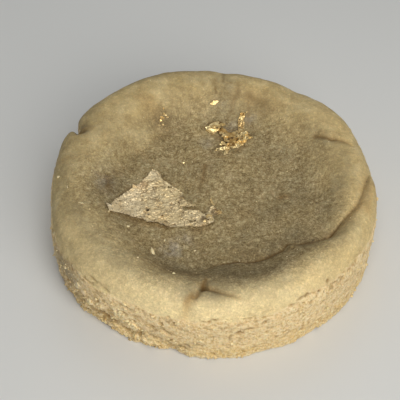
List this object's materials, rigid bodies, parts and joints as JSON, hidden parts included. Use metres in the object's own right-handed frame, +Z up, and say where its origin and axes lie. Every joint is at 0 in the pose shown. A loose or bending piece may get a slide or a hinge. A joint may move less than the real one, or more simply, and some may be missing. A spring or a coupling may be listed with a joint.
{
  "type": "sugar cookie",
  "caption": "Thick round hand-pressed sugar cookie with a raised uneven rim, a folded crease, a sunken top and scraps of gold leaf.",
  "frame": {"origin": "on the table under the middle of the cookie's bounding box", "axes": "+Z up out of the sunken top, -Y towards the front where the rim's pit is, +X to the right"},
  "size_m": [0.0736, 0.0746, 0.0199],
  "materials": {
    "baked_dough": "pale baked dough: matte smooth skin, sandy crumb on the side",
    "gold_leaf": "crinkled edible gold leaf, satin"
  },
  "bodies": {
    "root": {"cookie": "baked_dough", "gold_leaf_large": "gold_leaf", "gold_leaf_crumpled": "gold_leaf"}
  },
  "joints": []
}
